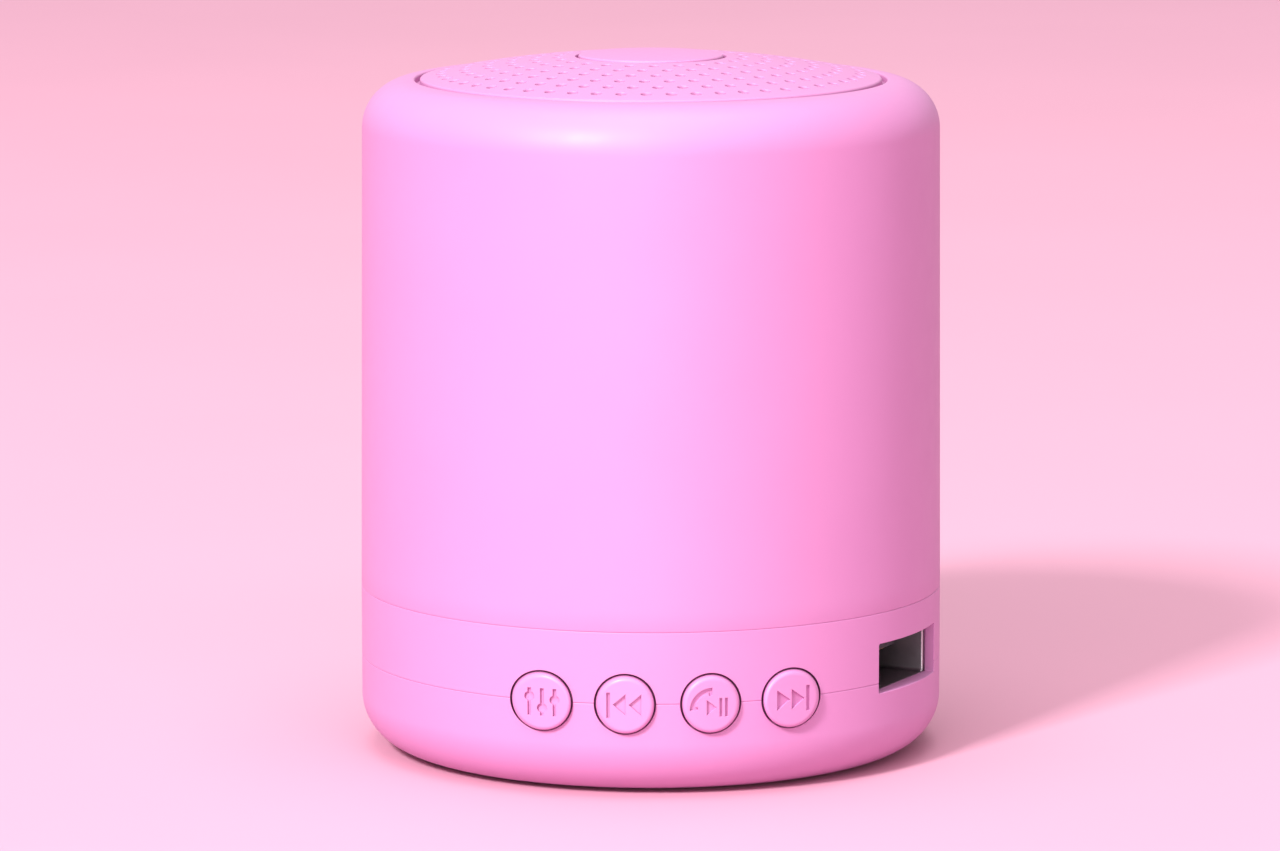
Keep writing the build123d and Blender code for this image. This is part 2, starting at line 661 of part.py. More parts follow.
# ---- every node ----
parts = {
    "main_shell": main_shell(),
    "middle_band": middle_band(),
    "bottom_shell": bottom_shell(),
    "top_grille": top_grille(),
    "grille_cap": grille_cap(),
    "foot_pad": foot_pad(),
    "weight_plate": weight_plate(),
    "housing_screws": housing_screws(),
    "board_screws": board_screws(),
    "driver_screws": driver_screws(),
    "inner_frame": inner_frame(),
    "battery_foam": battery_foam(),
    "battery_cell": battery_cell(),
    "battery_wires": battery_wires(),
    "speaker_wires": speaker_wires(),
    "driver_frame": driver_frame(),
    "driver_surround": driver_surround(),
    "driver_gasket": driver_gasket(),
    "driver_cone": driver_cone(),
    "driver_dust_cap": driver_dust_cap(),
    "voice_coil": voice_coil(),
    "driver_spider": driver_spider(),
    "driver_top_plate": tube(11.5, GAP_R, 44.0, 46.0),
    "driver_magnet": tube(13.0, 8.2, 39.0, 44.0),
    "driver_yoke": disc(12.0, 37.0, 39.0) + disc(POLE_R, 39.0, 46.2),
    "driver_terminals": driver_terminals(),
    "circuit_board": circuit_board(),
    "control_chips": control_chips(),
    "capacitors": capacitors(),
    "key_switches": key_switches(),
    "microphone": microphone(),
    "status_led": status_led(),
    "light_pipe": light_pipe(),
    "usb_socket_shell": usb_socket_shell(),
    "usb_socket_tongue": usb_socket_tongue(),
    "usb_contacts": usb_contacts(),
    "charge_socket_shell": charge_socket_shell(),
    "charge_socket_tongue": charge_socket_tongue(),
    "card_socket": card_socket(),
    "power_switch_case": power_switch_case(),
    "power_switch_knob": power_switch_knob(),
}
for key, place in key_places().items():
    parts[f"{key}_button"] = key_cap(key, place)
    parts[f"{key}_plunger"] = plunger(place)

os.makedirs("parts", exist_ok=True)
for name, shape in parts.items():
    export_step(shape, f"parts/{name}.step")
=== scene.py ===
import json
from math import acos, cos, degrees, hypot, pi, radians, sin, sqrt, tan

import bmesh
import bpy
import numpy as np
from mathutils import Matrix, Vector
from mathutils.geometry import delaunay_2d_cdt


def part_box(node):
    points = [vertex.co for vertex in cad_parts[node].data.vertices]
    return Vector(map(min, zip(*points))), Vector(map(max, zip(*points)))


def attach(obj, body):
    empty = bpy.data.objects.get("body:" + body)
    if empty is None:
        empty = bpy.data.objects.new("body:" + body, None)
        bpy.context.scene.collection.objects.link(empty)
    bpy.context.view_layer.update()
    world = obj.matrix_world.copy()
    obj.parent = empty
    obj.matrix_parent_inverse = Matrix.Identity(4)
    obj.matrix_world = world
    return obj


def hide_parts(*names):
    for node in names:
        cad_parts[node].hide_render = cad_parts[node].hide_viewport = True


# A small round loudspeaker in soft-touch pink plastic. The shells, the grille and its cap, the
# buttons, the foot and the metal can of the USB socket are rebuilt here as fine meshes on the CAD
# model's dimensions; the rest stays CAD.
# Outlines are in millimetres and become metres when a mesh is made.

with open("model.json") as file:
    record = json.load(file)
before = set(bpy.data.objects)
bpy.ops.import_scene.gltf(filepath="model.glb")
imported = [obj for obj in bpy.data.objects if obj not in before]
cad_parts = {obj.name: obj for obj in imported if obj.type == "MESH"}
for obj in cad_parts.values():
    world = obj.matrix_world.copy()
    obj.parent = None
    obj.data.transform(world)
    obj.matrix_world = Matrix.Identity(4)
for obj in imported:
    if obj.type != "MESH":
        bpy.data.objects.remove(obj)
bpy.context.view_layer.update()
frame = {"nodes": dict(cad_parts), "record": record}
MM = 0.001


def span(node):
    """A CAD node's lowest and highest corners in millimetres."""
    low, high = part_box(node)
    return low / MM, high / MM


# ---- driving dimensions, from the frame where it has them ----
BAND_LOW, BAND_HIGH = span("middle_band")
CAP_LOW, CAP_HIGH = span("grille_cap")
FOOT_HIGH = span("foot_pad")[1]

BODY_R = BAND_HIGH.x            # outer radius of the wall
WALL = 1.8
INNER_R = BODY_R - WALL
BASE_Z = span("bottom_shell")[0].z
FLOOR_TOP = 2.6                 # inner face of the bottom
FOOT_FILLET = 5.0
FOOT_GAP = 0.2                  # round the foot pad
FOOT_EDGE = 0.25                # rounding of the foot pad
FOOT_GROOVE = (18.4, 19.6, 0.2)    # inner and outer radius, depth
SEAM_LOW_Z = BAND_LOW.z
SEAM_HIGH_Z = 15.8
SEAM_BEVEL = 0.09

TOP_R = 27.69                   # outer radius at the start of the shoulder
SHOULDER_R = 4.56
SHOULDER_Z = 60.0
RIM_SLOPE = 4.5                 # degrees
RIM_ROUND = 0.22
GROOVE_DEPTH = 0.6              # of the gap round the grille
GROOVE_SLIP = 0.08              # between the grille and the wall under the groove
SEAT_R, SEAT_Z = 21.2, 61.7     # inner radius and top of the ring under the grille's edge
LEDGE_R, LEDGE_Z = 20.4, 59.2   # inner radius and underside of the ledge that holds the driver
LEDGE_TOP = 60.8

GRILLE_R = span("top_grille")[1].x
GRILLE_GAP = 0.48
GRILLE_THICK = 1.6
GRILLE_SKIRT = 2.6              # height of the plain edge
GRILLE_RIM = 1.0                # width of the plain edge
GRILLE_ROUND = 0.2
RIM_FACETS = 216
DOME_TOP_Z = 67.02
DOME_R = 107.5
HOLE_PITCH = 2.23               # between rings
HOLE_R = 0.51
HOLE_TURN = radians(-1.2)
HOLE_LIP = 0.055
HOLE_RINGS = range(4, 10)       # ring n holds 6n holes, n pitches from the axis
HOLE_FACETS = 22
CAP_R = CAP_HIGH.x
CAP_GAP = 0.27
CAP_RISE = 0.12
CAP_SEAT = 0.6
CAP_LIP = 0.13                  # rounding of the seat's mouth
CAP_ROUND = 0.2
CAP_SPIGOT_R = 1.95
CAP_SPIGOT_HOLE_R = 2.0
SEAT_FACETS = 120

KEY_STEP = 16.4                 # degrees round the wall between buttons
KEY_Z = SEAM_LOW_Z
KEY_HOLE_R = 2.87
KEY_HOLE_LIP = 0.06
KEY_R = 2.68
KEY_PROUD = 0.72
KEY_ROUND = 0.42
KEY_BACK = 3.2                  # from the inner wall to the end of the stem
ICON_DEPTH = 0.35
FLANGE_R = 3.35
FLANGE_THICK = 1.2
STEM_R = 1.2

# Each opening in the wall has its direction, its width, height and corner radius, and its centre's height.
BOARD_TOP = 7.6
USB_ANGLE = -30.0
USB_CUT = (12.6, 4.75, 0.2)
USB_CUT_Z = 10.475
USB_LIP = 0.07
CHARGE_ANGLE = 55.0
CHARGE_CUT = (8.2, 3.2, 0.9)
CHARGE_CUT_Z = 9.05
CARD_ANGLE = 90.0
CARD_CUT = (12.0, 1.6, 0.5)
CARD_CUT_Z = 8.7
POWER_ANGLE = 125.0
POWER_CUT = (4.8, 2.0, 0.4)
POWER_CUT_Z = 9.3
LED_ANGLE = 33.0
LED_HOLE_R = 0.95
MIC_ANGLE = 172.0
MIC_HOLE_R = 0.5
PINHOLE_LIP = 0.08
EDGE_ROUND = 0.13               # lip of the openings that have no value of their own
CUT_START = 20.0                # distance from the axis where a cut begins
DEEP_CUT_START = 18.0           # the same for the buttons and the pocket behind the USB opening

USB_FRONT = 26.18               # front edge of the can, from the axis
USB_LENGTH = 14.0
USB_OUT = (13.1, 5.7)           # outer width and height of the can
USB_OUT_Z = BOARD_TOP + USB_OUT[1] / 2
USB_CORNER = 0.7
USB_SHEET = 0.42
USB_SLOT = 0.18                 # between the can's front edge and the wall
TURN = 288                      # facets round the body


# ---- mesh building ----
class Skin:
    """Collects points in millimetres and faces, then becomes an object in metres."""

    def __init__(self):
        self.points = []
        self.faces = []
        self.known_normals = {}

    def add(self, points):
        start = len(self.points)
        self.points.extend(points)
        return list(range(start, len(self.points)))

    def strip(self, first, second):
        count = len(first)
        for i in range(count):
            j = (i + 1) % count
            self.faces.append((first[i], first[j], second[j], second[i]))

    def strips(self, loops):
        for first, second in zip(loops, loops[1:]):
            self.strip(first, second)

    def fill(self, loops, plan, extra, inside):
        """Triangles between closed loops, in the flat coordinates that plan gives each point."""
        ids = [i for loop in loops for i in loop] + list(extra)
        places = {index: place for place, index in enumerate(ids)}
        edges = []
        for loop in loops:
            edges += [(places[a], places[b]) for a, b in zip(loop, loop[1:] + loop[:1])]
        flat = [Vector(plan[i]) for i in ids]
        made = delaunay_2d_cdt(flat, edges, [], 0, 1e-7)
        triangles = []
        for triangle in made[2]:
            corners = [ids[made[3][v][0]] for v in triangle if made[3][v]]
            if len(corners) < 3:
                continue
            u = sum(plan[c][0] for c in corners) / 3
            v = sum(plan[c][1] for c in corners) / 3
            if inside(u, v):
                triangles.append(tuple(corners))
        self.faces.extend(triangles)
        return triangles

    def build(self, name, sharp=35.0):
        mesh = bpy.data.meshes.new(name)
        mesh.from_pydata([Vector(p) * MM for p in self.points], [], self.faces)
        form = bmesh.new()
        form.from_mesh(mesh)
        bmesh.ops.recalc_face_normals(form, faces=form.faces)
        form.to_mesh(mesh)
        form.free()
        obj = bpy.data.objects.new(name, mesh)
        bpy.context.scene.collection.objects.link(obj)
        smooth(obj, sharp)
        if self.known_normals:
            set_normals(obj, self.known_normals)
        return obj


def smooth(obj, sharp=35.0):
    obj.data.polygons.foreach_set("use_smooth", [True] * len(obj.data.polygons))
    obj.data.set_sharp_from_angle(angle=radians(sharp))


def set_normals(obj, known, reach=0.6):
    """Exact normals at the points in known, on faces that lie within reach of them."""
    mesh = obj.data
    normals = [Vector(n.vector) for n in mesh.corner_normals]
    for face in mesh.polygons:
        for corner in face.loop_indices:
            exact = known.get(mesh.loops[corner].vertex_index)
            if exact is not None and face.normal.dot(exact) > reach:
                normals[corner] = exact
    mesh.normals_split_custom_set(normals)


def round_outline(radius, count=72):
    return [(radius * cos(2 * pi * i / count), radius * sin(2 * pi * i / count)) for i in range(count)]


def circle(radius, z, count):
    return [(x, y, z) for x, y in round_outline(radius, count)]


def arc(centre, radius, start, end, steps):
    """Points of an arc in radius and height, angles in degrees from +R towards +Z."""
    angles = [radians(start + (end - start) * i / steps) for i in range(steps + 1)]
    return [(centre[0] + radius * cos(a), centre[1] + radius * sin(a)) for a in angles]


def along(start, end, steps):
    """Points between two outline points, without the first."""
    return [(start[0] + (end[0] - start[0]) * i / steps, start[1] + (end[1] - start[1]) * i / steps)
            for i in range(1, steps + 1)]


def lathe(name, outline, count=TURN, closed=True, sharp=35.0):
    """A solid of revolution from its outline; a point on the axis closes it with a fan."""
    skin = Skin()
    loops = []
    for radius, z in outline:
        loops.append(skin.add([(0, 0, z)]) if radius < 1e-6 else skin.add(circle(radius, z, count)))
    pairs = list(zip(loops, loops[1:])) + ([(loops[-1], loops[0])] if closed else [])
    for first, second in pairs:
        if len(first) == 1 and len(second) == 1:
            continue
        if len(first) == 1 or len(second) == 1:
            ring, hub = (second, first[0]) if len(first) == 1 else (first, second[0])
            for i in range(count):
                skin.faces.append((ring[i], ring[(i + 1) % count], hub))
        else:
            skin.strip(first, second)
    return skin.build(name, sharp)


def cut(obj, cutters):
    """Takes the cutters away from obj and deletes them."""
    for cutter in cutters:
        modifier = obj.modifiers.new("cut", "BOOLEAN")
        modifier.operation = "DIFFERENCE"
        modifier.solver = "EXACT"
        modifier.object = cutter
    graph = bpy.context.evaluated_depsgraph_get()
    mesh = bpy.data.meshes.new_from_object(obj.evaluated_get(graph))
    obj.modifiers.clear()
    old = obj.data
    obj.data = mesh
    bpy.data.meshes.remove(old)
    for cutter in cutters:
        data = cutter.data
        bpy.data.objects.remove(cutter)
        bpy.data.meshes.remove(data)


def grow(points, distance):
    """A closed outline moved outwards by a distance, with mitred corners."""
    area = sum(a[0] * b[1] - b[0] * a[1] for a, b in zip(points, points[1:] + points[:1]))
    side = 1 if area > 0 else -1
    moved = []
    for i, (x, y) in enumerate(points):
        before, after = points[i - 1], points[(i + 1) % len(points)]
        first = Vector((y - before[1], before[0] - x)).normalized() * side
        second = Vector((after[1] - y, x - after[0])).normalized() * side
        miter = (first + second) / max(0.35, 1 + first.dot(second))
        moved.append((x + miter.x * distance, y + miter.y * distance))
    return moved


# ---- openings in the wall ----
def rounded_box(wide, high, radius, steps=5):
    points = []
    for index, (sx, sy) in enumerate(((1, 1), (-1, 1), (-1, -1), (1, -1))):
        centre = (sx * (wide / 2 - radius), sy * (high / 2 - radius))
        points += arc(centre, radius, 90 * index, 90 * index + 90, steps)
    return points


def finely(points, spacing=0.6):
    """A closed outline with points along its straight sides too, so that it can follow a curved wall."""
    made = []
    for start, end in zip(points, points[1:] + points[:1]):
        steps = max(1, round(hypot(end[0] - start[0], end[1] - start[1]) / spacing))
        made += along(start, end, steps)
    return made


def directions(angle):
    """Outwards and sideways at an angle in degrees round the axis."""
    out = Vector((cos(radians(angle)), sin(radians(angle)), 0))
    return out, Vector((-out.y, out.x, 0))


def opening(angle, outline, z, near=CUT_START, shift=0.0, lip=EDGE_ROUND, steps=5):
    """A cutter that leaves the wall with a rounded lip. The outline is sideways and up."""
    out, side = directions(angle)
    outline = finely(outline)
    skin = Skin()

    def ring(points, depth):
        made = []
        for a, b in points:
            lateral = a + shift
            reach = depth if depth > 0 else sqrt(BODY_R**2 - lateral**2) + depth
            made.append(out * reach + side * lateral + Vector((0, 0, z + b)))
        return skin.add(made)

    loops = [ring(outline, near), ring(outline, -lip)]
    for step in range(1, steps + 1):
        turn = radians(78 * step / steps)
        loops.append(ring(grow(outline, lip * (1 - cos(turn))), lip * (sin(turn) - 1)))
    loops.append(ring(grow(outline, lip * 1.4), BODY_R + 1.2))
    skin.strips(loops)
    skin.faces.append(tuple(loops[0]))
    skin.faces.append(tuple(reversed(loops[-1])))
    return skin.build("opening")


def box_cutter(angle, near, far, wide, low, high):
    out, side = directions(angle)
    skin = Skin()
    loops = []
    for reach in (near, far):
        corners = ((-wide / 2, low), (wide / 2, low), (wide / 2, high), (-wide / 2, high))
        loops.append(skin.add([out * reach + side * a + Vector((0, 0, b)) for a, b in corners]))
    skin.strips(loops)
    skin.faces.append(tuple(loops[0]))
    skin.faces.append(tuple(reversed(loops[1])))
    return skin.build("pocket")


def make_usb_shell():
    """The socket's pressed sheet can, with a rolled front edge."""
    out, side = directions(USB_ANGLE)
    skin = Skin()

    def ring(inset, reach):
        wide, high = USB_OUT[0] - 2 * inset, USB_OUT[1] - 2 * inset
        corner = USB_CORNER - inset * 0.8
        points = rounded_box(wide, high, corner)
        return skin.add([out * reach + side * a + Vector((0, 0, USB_OUT_Z + b)) for a, b in points])

    back = USB_FRONT - USB_LENGTH
    loops = [ring(0, back), ring(0, USB_FRONT - USB_SHEET / 2)]
    for turn in np.linspace(pi / 8, pi, 8):
        inset = USB_SHEET * (1 - cos(turn)) / 2
        loops.append(ring(inset, USB_FRONT - USB_SHEET / 2 * (1 - sin(turn))))
    loops.append(ring(USB_SHEET, back + USB_SHEET))
    skin.strips(loops)
    skin.faces.append(tuple(loops[0]))
    skin.faces.append(tuple(reversed(loops[-1])))
    return skin.build("can")


def key_places():
    names = ("mode", "previous", "play", "next")
    return {name: BODY_R * sin(radians(KEY_STEP * (i - 1.5))) for i, name in enumerate(names)}


def wall_openings():
    """Every cutter through the lower wall: sockets, switch, light, microphone and buttons."""
    cutters = [opening(USB_ANGLE, rounded_box(*USB_CUT), USB_CUT_Z, lip=USB_LIP)]
    cutters.append(opening(CHARGE_ANGLE, rounded_box(*CHARGE_CUT), CHARGE_CUT_Z))
    cutters.append(opening(CARD_ANGLE, rounded_box(*CARD_CUT), CARD_CUT_Z))
    cutters.append(opening(POWER_ANGLE, rounded_box(*POWER_CUT), POWER_CUT_Z))
    cutters.append(opening(LED_ANGLE, round_outline(LED_HOLE_R, 32), SEAM_LOW_Z, lip=PINHOLE_LIP))
    cutters.append(opening(MIC_ANGLE, round_outline(MIC_HOLE_R, 24), SEAM_LOW_Z, lip=PINHOLE_LIP))
    for x in key_places().values():
        hole = round_outline(KEY_HOLE_R)
        cutters.append(opening(-90.0, hole, KEY_Z, DEEP_CUT_START, shift=x, lip=KEY_HOLE_LIP))
    wide, low, high = USB_OUT[0] + 0.2, BOARD_TOP - 0.05, BOARD_TOP + USB_OUT[1] + 0.12
    cutters.append(box_cutter(USB_ANGLE, DEEP_CUT_START, USB_FRONT + USB_SLOT, wide, low, high))
    return cutters


def wall_normals(obj):
    """The cylindrical wall's exact normals, so that shading stays even round the openings."""
    known = {}
    for vertex in obj.data.vertices:
        x, y, z = vertex.co / MM
        radius = hypot(x, y)
        if abs(radius - BODY_R) < 0.006 and z > BASE_Z + FOOT_FILLET - 0.01:
            known[vertex.index] = Vector((x / radius, y / radius, 0))
    set_normals(obj, known, 0.97)


# ---- housing ----
def make_cup():
    low = (BODY_R - FOOT_FILLET, BASE_Z + FOOT_FILLET)
    seam = SEAM_LOW_Z
    recess_r = FOOT_HIGH.x + FOOT_GAP
    bevel = arc((BODY_R - SEAM_BEVEL, seam - SEAM_BEVEL), SEAM_BEVEL, 0, 90, 3)
    outline = [(0, FOOT_HIGH.z), (recess_r, FOOT_HIGH.z), (recess_r, BASE_Z + 0.1), (recess_r + 0.06, BASE_Z)]
    outline += arc(low, FOOT_FILLET, -90, 0, 28)
    outline += along(outline[-1], bevel[0], 6)
    outline += bevel[1:] + [(INNER_R, seam)]
    outline += along((INNER_R, seam), (INNER_R, low[1]), 4)
    outline += arc(low, FOOT_FILLET - WALL, 0, -90, 10)[1:] + [(low[0] - 0.5, FLOOR_TOP), (0, FLOOR_TOP)]
    cup = lathe("cup", outline, closed=False)
    cut(cup, wall_openings())
    smooth(cup)
    wall_normals(cup)
    return cup


def make_band():
    low, high = SEAM_LOW_Z, SEAM_HIGH_Z
    outline = [(INNER_R, low)] + arc((BODY_R - SEAM_BEVEL, low + SEAM_BEVEL), SEAM_BEVEL, -90, 0, 3)
    outline += along(outline[-1], (BODY_R, high - SEAM_BEVEL), 12)
    outline += arc((BODY_R - SEAM_BEVEL, high - SEAM_BEVEL), SEAM_BEVEL, 0, 90, 3)[1:]
    outline += [(INNER_R, high)] + along((INNER_R, high), (INNER_R, low), 8)[:-1]
    band = lathe("band", outline)
    cut(band, wall_openings())
    smooth(band)
    wall_normals(band)
    return band


def make_main():
    open_r = GRILLE_R + GRILLE_GAP
    shoulder = arc((TOP_R - SHOULDER_R, SHOULDER_Z), SHOULDER_R, 0, 90 - RIM_SLOPE, 26)
    crest = shoulder[-1]
    rim_z = crest[1] + (crest[0] - open_r) * tan(radians(RIM_SLOPE))
    bevel = arc((BODY_R - SEAM_BEVEL, SEAM_HIGH_Z + SEAM_BEVEL), SEAM_BEVEL, -90, 0, 3)
    outline = [(INNER_R, SEAM_HIGH_Z)] + bevel
    outline += along(bevel[-1], shoulder[0], 24) + shoulder[1:]
    lip = (open_r + RIM_ROUND, rim_z - RIM_ROUND)
    outline.append(((crest[0] + lip[0]) / 2, (crest[1] + rim_z) / 2))
    outline += arc(lip, RIM_ROUND, 90 - RIM_SLOPE / 2, 180, 5)
    groove_z = rim_z - GROOVE_DEPTH
    guide_r = GRILLE_R + GROOVE_SLIP
    outline += [(open_r, groove_z), (guide_r, groove_z), (guide_r, SEAT_Z), (SEAT_R, SEAT_Z)]
    outline += [(SEAT_R, LEDGE_TOP), (LEDGE_R, LEDGE_TOP), (LEDGE_R, LEDGE_Z), (INNER_R, LEDGE_Z)]
    outline += along((INNER_R, LEDGE_Z), (INNER_R, SEAM_HIGH_Z), 6)[:-1]
    return lathe("main", outline)


def make_foot():
    high, radius = FOOT_HIGH.z, FOOT_HIGH.x
    inner, outer, deep = FOOT_GROOVE
    outline = [(0, high), (radius - 0.1, high)] + arc((radius - FOOT_EDGE, FOOT_EDGE), FOOT_EDGE, 0, -90, 5)
    outline += [(outer, 0), (outer - 0.1, deep), (inner + 0.1, deep), (inner, 0), (0, 0)]
    return lathe("foot", outline, count=160, closed=False)


# ---- grille ----
def dome_z(radius):
    return DOME_TOP_Z - DOME_R + sqrt(DOME_R**2 - radius**2)


def dome_normal(x, y):
    return Vector((x, y, sqrt(DOME_R**2 - x * x - y * y))).normalized()


def hole_places():
    places = []
    for ring in HOLE_RINGS:
        count = 6 * ring
        for index in range(count):
            turn = HOLE_TURN + 2 * pi * index / count
            places.append((ring * HOLE_PITCH * cos(turn), ring * HOLE_PITCH * sin(turn)))
    return places


def make_grille():
    skin = Skin()
    plan = {}
    edge_r = GRILLE_R - GRILLE_RIM
    round_r = GRILLE_R - GRILLE_ROUND
    seat_r = CAP_R + CAP_GAP
    seat_z = dome_z(CAP_R) - CAP_SEAT
    mouth_r = seat_r + CAP_LIP

    def ring(radius, depth, count, centre=(0.0, 0.0), level=None):
        points = []
        for across, up in round_outline(radius, count):
            x, y = centre[0] + across, centre[1] + up
            z = dome_z(hypot(x, y)) - depth if level is None else level
            points.append((x, y, z))
        ids = skin.add(points)
        for i, (x, y, _) in zip(ids, points):
            plan[i] = (x, y)
            if level is None and depth == 0:
                skin.known_normals[i] = dome_normal(x, y)
        return ids

    around = [ring(radius, 0, RIM_FACETS) for radius in (edge_r, edge_r + 0.4, round_r)]
    for radius, drop in arc((round_r, -GRILLE_ROUND), GRILLE_ROUND, 90, 0, 5)[1:]:
        around.append(ring(radius, -drop, RIM_FACETS))
    around.append(ring(GRILLE_R, GRILLE_SKIRT, RIM_FACETS))
    around.append(ring(edge_r, GRILLE_SKIRT, RIM_FACETS))
    under_edge = ring(edge_r, GRILLE_THICK, RIM_FACETS)
    skin.strips(around + [under_edge])

    middle = [ring(mouth_r, 0, SEAT_FACETS)]
    for radius, drop in arc((mouth_r, -CAP_LIP), CAP_LIP, 90, 180, 4)[1:]:
        middle.append(ring(radius, -drop, SEAT_FACETS))
    middle.append(ring(seat_r, 0, SEAT_FACETS, level=seat_z))
    middle.append(ring(CAP_SPIGOT_HOLE_R, 0, SEAT_FACETS, level=seat_z))
    middle.append(ring(CAP_SPIGOT_HOLE_R, 0, SEAT_FACETS, level=seat_z - 1.0))
    under_middle = ring(mouth_r, GRILLE_THICK, SEAT_FACETS)
    skin.strips(middle + [under_middle])

    holes, under_holes = [], []
    reach = HOLE_R + HOLE_LIP
    sides = [(reach, 0.0), (HOLE_R + 0.04, 0.018), (HOLE_R + 0.012, 0.055), (HOLE_R, 0.11)]
    sides += [(HOLE_R, GRILLE_THICK - 0.05), (reach, GRILLE_THICK)]
    centres = hole_places()
    for centre in centres:
        loops = [ring(radius, depth, HOLE_FACETS, centre) for radius, depth in sides]
        skin.strips(loops)
        holes.append(loops[0])
        under_holes.append(loops[-1])
    centres_u, centres_v = np.array(centres).T

    def solid(u, v):
        near = np.hypot(centres_u - u, centres_v - v).min()
        return mouth_r < hypot(u, v) < edge_r and near > reach * 0.999

    extra = []
    for number in HOLE_RINGS[:-1]:
        extra += ring((number + 0.5) * HOLE_PITCH, 0, 12 * number)
    triangles = skin.fill([around[0], middle[0]] + holes, plan, extra, solid)
    under = dict(zip(around[0] + middle[0], under_edge + under_middle))
    for top, bottom in zip(holes, under_holes):
        under.update(zip(top, bottom))
    for i in extra:
        x, y, z = skin.points[i]
        under[i] = skin.add([(x, y, z - GRILLE_THICK)])[0]
    skin.faces += [(under[a], under[c], under[b]) for a, b, c in triangles]
    return skin.build("grille")


def make_grille_cap():
    seat_z = dome_z(CAP_R) - CAP_SEAT
    crown_r = CAP_R - CAP_ROUND
    outline = [(radius, dome_z(radius) + CAP_RISE) for radius in np.linspace(0, crown_r, 15)]
    outline += arc((crown_r, outline[-1][1] - CAP_ROUND), CAP_ROUND, 90, 0, 5)[1:]
    outline += [(CAP_R, seat_z), (CAP_SPIGOT_R, seat_z), (CAP_SPIGOT_R, CAP_LOW.z), (0, CAP_LOW.z)]
    return lathe("cap", outline, count=144, closed=False)


# ---- buttons ----
def slab(left, right, low, high):
    return [(left, low), (right, low), (right, high), (left, high)]


def arrow(tip, back, half, z=0.0):
    return [(tip, z), (back, z + half), (back, z - half)]


def slider_mark(x, knob_z, half=0.15, knob=0.44, reach=1.3):
    """A slot with a round knob on it, as one outline."""
    bend = degrees(acos(half / knob))
    right = [(x + knob * cos(radians(a)), knob_z + knob * sin(radians(a)))
             for a in np.linspace(-bend, bend, 12)]
    left = [(2 * x - px, pz) for px, pz in reversed(right)]
    ends = [(x + half, reach), (x - half, reach)]
    return [(x + half, -reach)] + right + ends + left + [(x - half, -reach)]


def handset_mark():
    """A telephone handset: a thick quarter arc with a block at each end."""
    centre, block_r, inner_r, outer_r = (0.1, -0.5), 1.38, 1.66, 2.1
    outline = arc(centre, block_r, 178, 168, 1) + arc(centre, inner_r, 168, 102, 11)
    return outline + arc(centre, block_r, 102, 92, 1) + arc(centre, outer_r, 90, 180, 15)


def marks(name):
    if name == "mode":
        return [slider_mark(-1.15, 0.5), slider_mark(0.0, -0.55), slider_mark(1.15, 0.25)]
    if name == "previous":
        return [slab(-1.74, -1.44, -1.2, 1.2), arrow(-1.14, 0.0, 0.98, 0.08), arrow(0.32, 1.46, 0.98, 0.08)]
    if name == "next":
        return [slab(1.42, 1.72, -1.2, 1.2), arrow(-0.16, -1.4, 0.96), arrow(1.24, 0.0, 0.96)]
    bars = [slab(0.78, 1.02, -1.15, 0.6), slab(1.3, 1.54, -1.15, 0.6)]
    return bars + [arrow(0.5, -0.42, 0.72, -0.28), handset_mark()]


def within(outline, u, v):
    """True if a point lies in a closed outline."""
    inside = False
    for (ax, ay), (bx, by) in zip(outline, outline[1:] + outline[:1]):
        if (ay > v) != (by > v) and u < (bx - ax) * (v - ay) / (by - ay) + ax:
            inside = not inside
    return inside


def make_button(name, key_x):
    skin = Skin()
    plan = {}
    face_r = BODY_R + KEY_PROUD

    def level(points, depth, reference=face_r):
        made = []
        for u, v in points:
            x = key_x + u
            made.append((x, -sqrt(reference**2 - x * x) + depth, KEY_Z + v))
        ids = skin.add(made)
        for i, (u, v), (x, _, _) in zip(ids, points, made):
            plan[i] = (u, v)
            if depth == 0 and reference == face_r:
                skin.known_normals[i] = Vector((x / face_r, -sqrt(1 - (x / face_r)**2), 0))
        return ids

    count = 108
    limit = KEY_R - KEY_ROUND
    sides = []
    for turn in np.linspace(0, pi / 2, 10):
        outline = round_outline(limit + KEY_ROUND * sin(turn), count)
        sides.append(level(outline, KEY_ROUND * (1 - cos(turn))))
    flange, stem = round_outline(FLANGE_R, count), round_outline(STEM_R, count)
    sides.append(level(round_outline(KEY_R, count), -0.1, INNER_R))
    sides.append(level(flange, 0.1, INNER_R))
    sides.append(level(flange, 0.0, INNER_R - FLANGE_THICK))
    sides.append(level(stem, 0.0, INNER_R - FLANGE_THICK))
    end_y = KEY_BACK - sqrt(INNER_R**2 - key_x**2)
    sides.append(skin.add([(key_x + u, end_y, KEY_Z + v) for u, v in stem]))
    skin.strips(sides)
    skin.faces.append(tuple(sides[-1]))

    edges = []
    for mark in marks(name):
        loops = [level(grow(mark, 0.05), 0), level(grow(mark, 0.018), 0.014), level(mark, 0.05)]
        loops.append(level(grow(mark, -0.015), ICON_DEPTH - 0.03))
        loops.append(level(grow(mark, -0.04), ICON_DEPTH))
        skin.strips(loops)
        outer, inner = [plan[i] for i in loops[0]], [plan[i] for i in loops[-1]]
        edges.append((loops[0], outer))
        skin.fill([loops[-1]], plan, [], lambda u, v, shape=inner: within(shape, u, v))

    grid = np.arange(-2.1, 2.11, 0.3)
    spots = [(u, v) for u in grid for v in grid if hypot(u, v) < limit - 0.15]
    spots = [p for p in spots if not any(within(grow(outer, 0.1), *p) for _, outer in edges)]
    extra = level(spots, 0)

    def solid(u, v):
        return hypot(u, v) < limit and not any(within(outer, u, v) for _, outer in edges)

    skin.fill([sides[0]] + [loop for loop, _ in edges], plan, extra, solid)
    return skin.build(f"{name}_cap", 40.0)


